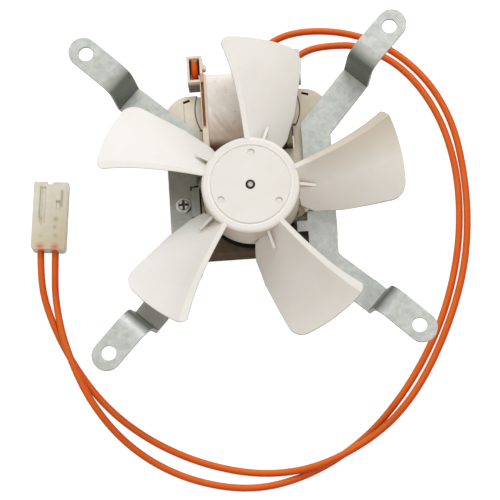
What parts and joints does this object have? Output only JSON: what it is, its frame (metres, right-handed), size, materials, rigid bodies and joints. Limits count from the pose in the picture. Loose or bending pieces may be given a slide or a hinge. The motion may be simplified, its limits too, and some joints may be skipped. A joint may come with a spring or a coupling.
{
  "type": "pellet grill induction fan",
  "caption": "Shaded-pole motor fan with a moulded axial impeller, stepped sheet brackets, two orange leads and a plug-in connector.",
  "frame": {"origin": "on the shaft axis, level with the back of the motor, which is the face the fan lies on", "axes": "+Z along the shaft towards the face of the impeller, +Y towards the coil, +X to the right seen from the front"},
  "size_m": [0.1507, 0.1595, 0.0429],
  "materials": {
    "galvanised_steel": "galvanised sheet",
    "zinc_steel": "zinc plated",
    "lamination_steel": "varnished laminations",
    "bright_steel": "ground",
    "bronze": "sintered",
    "copper": "enamelled",
    "brass": "tinned",
    "felt": "oiled felt",
    "cream_nylon": "moulded",
    "white_tape": "tape",
    "orange_insulation": "smooth",
    "natural_nylon": "translucent",
    "white_plastic": "moulded",
    "washer_plastic": "smooth",
    "cast_aluminium": "cast"
  },
  "bodies": {
    "motor": {"left_bracket": "galvanised_steel", "right_bracket": "galvanised_steel", "front_bearing_bridge": "zinc_steel", "rear_bearing_bridge": "zinc_steel", "front_bearing": "bronze", "rear_bearing": "bronze", "front_bearing_clip": "zinc_steel", "rear_bearing_clip": "zinc_steel", "front_oil_felt": "felt", "rear_oil_felt": "felt", "stator_core": "lamination_steel", "coil_core_bar": "lamination_steel", "shading_coil_left": "copper", "shading_coil_right": "copper", "bobbin": "cream_nylon", "coil_winding": "copper", "coil_tape": "white_tape", "coil_end_wire_left": "copper", "coil_end_wire_right": "copper", "lead_terminal_left": "brass", "lead_terminal_right": "brass", "screw_left": "zinc_steel", "screw_right": "zinc_steel", "nut_left": "zinc_steel", "nut_right": "zinc_steel", "left_lead": "orange_insulation", "right_lead": "orange_insulation", "connector_housing": "natural_nylon", "connector_contact_left": "brass", "connector_contact_right": "brass"},
    "rotor": {"impeller": "white_plastic", "shaft": "bright_steel", "rotor_core": "lamination_steel", "rotor_cage": "cast_aluminium", "rear_thrust_washer": "washer_plastic", "front_thrust_washer": "washer_plastic", "rear_spacer": "bronze", "front_spacer": "bronze"}
  },
  "joints": [
    {"name": "fan_spin", "type": "hinge", "parent": "motor", "child": "rotor", "pos_m": [0, 0, 0.0271], "axis": [0, 0, 1], "continuous": true}
  ]
}
